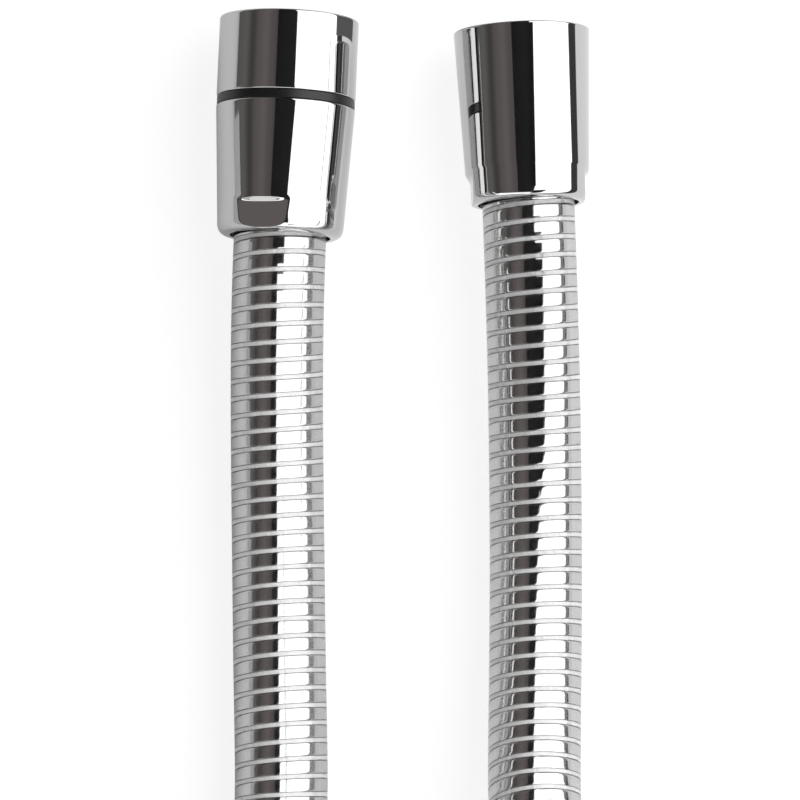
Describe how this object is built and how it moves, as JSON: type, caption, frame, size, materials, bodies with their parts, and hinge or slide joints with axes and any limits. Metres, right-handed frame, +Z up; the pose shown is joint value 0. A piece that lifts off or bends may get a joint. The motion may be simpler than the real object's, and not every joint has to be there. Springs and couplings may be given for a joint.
{
  "type": "shower hose",
  "caption": "Flexible shower hose with a silvered spiral under a clear sheath, a swivel cone at one end, a plain cone nut at the other, and its spare length coiled.",
  "frame": {"origin": "on the surface it lies on, under the middle of the box round the two end fittings", "axes": "+Y towards the fittings' mouths, +X from the swivel end to the plain end, +Z up from the surface"},
  "size_m": [0.1922, 0.3626, 0.0356],
  "materials": {
    "chrome": "polished chrome plate",
    "brass": "turned brass, bare",
    "steel": "pressed stainless steel",
    "rubber": "matt black rubber",
    "glide": "black acetal, smooth",
    "slide": "white acetal",
    "hose": "clear PVC over a silvered spiral",
    "strap": "black hook-and-loop tape"
  },
  "bodies": {
    "hose": {"hose_run_swivel": "hose", "hose_run_nut": "hose", "hose_coil": "hose", "coil_strap_1": "strap", "coil_strap_2": "strap", "swivel_cone": "chrome", "swivel_tail": "brass", "swivel_ferrule": "steel", "swivel_retaining_ring": "steel", "swivel_glide_ring": "glide", "nut_tail": "brass", "nut_ferrule": "steel", "nut_washer": "rubber"},
    "spindle": {"swivel_spindle": "brass", "spindle_o_ring_1": "rubber", "spindle_o_ring_2": "rubber", "swivel_washer": "rubber"},
    "ring": {"swivel_ring": "chrome"},
    "nut": {"cone_nut": "chrome", "nut_slide_ring": "slide"}
  },
  "joints": [
    {"name": "spindle_swivel", "type": "hinge", "parent": "hose", "child": "spindle", "pos_m": [-0.0196, 0.02, 0.01205], "axis": [0.0419, 0.9991, 0], "continuous": true},
    {"name": "ring_turn", "type": "hinge", "parent": "spindle", "child": "ring", "pos_m": [-0.0196, 0.02, 0.01205], "axis": [0.0419, 0.9991, 0], "continuous": true},
    {"name": "nut_turn", "type": "hinge", "parent": "hose", "child": "nut", "pos_m": [0.0206, 0.018, 0.01178], "axis": [-0.0384, 0.9993, 0], "continuous": true}
  ]
}
